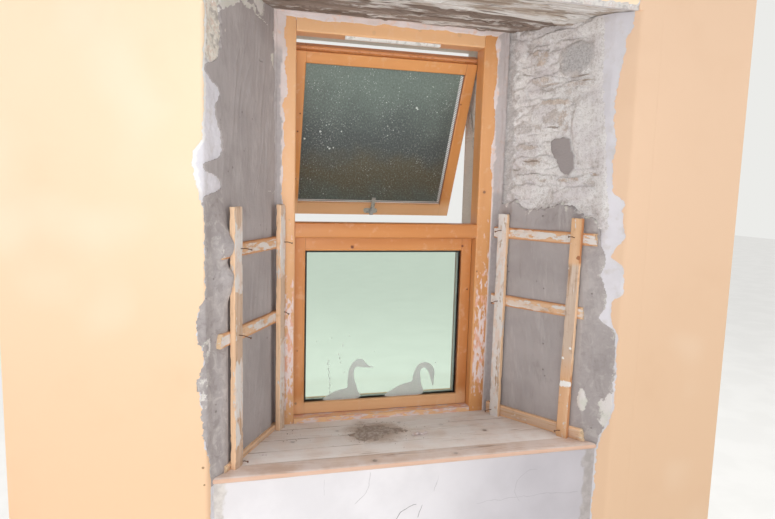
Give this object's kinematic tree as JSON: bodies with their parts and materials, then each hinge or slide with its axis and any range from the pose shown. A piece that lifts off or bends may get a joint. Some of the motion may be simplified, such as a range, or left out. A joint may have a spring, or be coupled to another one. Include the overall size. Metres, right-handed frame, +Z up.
{
  "type": "timber window in a splayed wall recess",
  "caption": "Timber window with an open top-swing upper sash over a shut lower sash, in the splayed, half-rendered recess of a thick rubble wall, with a window board and timber grounds.",
  "frame": {"origin": "on the floor, at the middle of the whole object's box", "axes": "+Z up, +X to the right as seen from the room, +Y from the room to the outside"},
  "size_m": [2.3, 0.8028, 2.5],
  "materials": {
    "rubble_masonry": "limewashed rubble and old white plaster, rough and matt",
    "pale_lintel": "old sawn timber, dry, with coarse grain",
    "dark_lintel": "old darkened timber with plaster in its cracks",
    "dressed_stone": "weathered dressed stone",
    "cement_render": "bare grey cement render, floated and matt",
    "left_wall_paint": "cream emulsion over old plaster, matt",
    "right_wall_paint": "peach emulsion over old plaster, matt",
    "apron_plaster": "white plaster with fine cracks, matt",
    "roughcast": "grey roughcast with fine chippings",
    "mortar_filler": "white mortar, troweled by hand",
    "varnished_pine": "pine with a warm satin stain and varnish",
    "clear_glass": "clear glass, a little dusty",
    "grimy_glass": "glass with a grey film and white specks",
    "spacer_bar": "perforated mill-finish aluminium",
    "seal": "dark brown rubber",
    "handle_metal": "satin steel",
    "fitting_metal": "zinc-plated steel",
    "track_channel": "pale coated aluminium",
    "vent_strip": "mill-finish aluminium",
    "raw_batten": "sawn softwood with remains of white paint",
    "floor_board": "grey-beige softwood boards, dusty",
    "nosing_board": "planed pinkish softwood"
  },
  "bodies": {
    "root": {"left_pier": "rubble_masonry", "right_pier": "rubble_masonry", "breast_wall": "rubble_masonry", "head_wall": "rubble_masonry", "room_lintel": "pale_lintel", "inner_lintel": "dark_lintel", "frame_lintel": "dark_lintel", "outer_lintel": "dressed_stone", "left_reveal_render": "cement_render", "right_reveal_render": "cement_render", "left_wall_plaster": "left_wall_paint", "right_wall_plaster": "right_wall_paint", "head_plaster": "left_wall_paint", "apron_plaster": "apron_plaster", "outer_roughcast": "roughcast", "outer_sill": "dressed_stone", "frame_filler": "mortar_filler", "frame_head": "varnished_pine", "frame_left_jamb": "varnished_pine", "frame_right_jamb": "varnished_pine", "frame_transom": "varnished_pine", "frame_sill": "varnished_pine", "lower_sash": "varnished_pine", "lower_pane": "clear_glass", "lower_spacer": "spacer_bar", "upper_sash": "varnished_pine", "upper_pane": "grimy_glass", "upper_spacer": "spacer_bar", "upper_seal": "seal", "sash_handle": "handle_metal", "left_arm": "fitting_metal", "right_arm": "fitting_metal", "left_track": "track_channel", "right_track": "track_channel", "head_vent": "vent_strip", "left_rear_upright": "raw_batten", "left_front_upright": "raw_batten", "left_cross_battens": "raw_batten", "right_rear_upright": "raw_batten", "right_front_upright": "raw_batten", "right_cross_battens": "raw_batten", "window_board": "floor_board", "board_nosing": "nosing_board"}
  },
  "joints": []
}
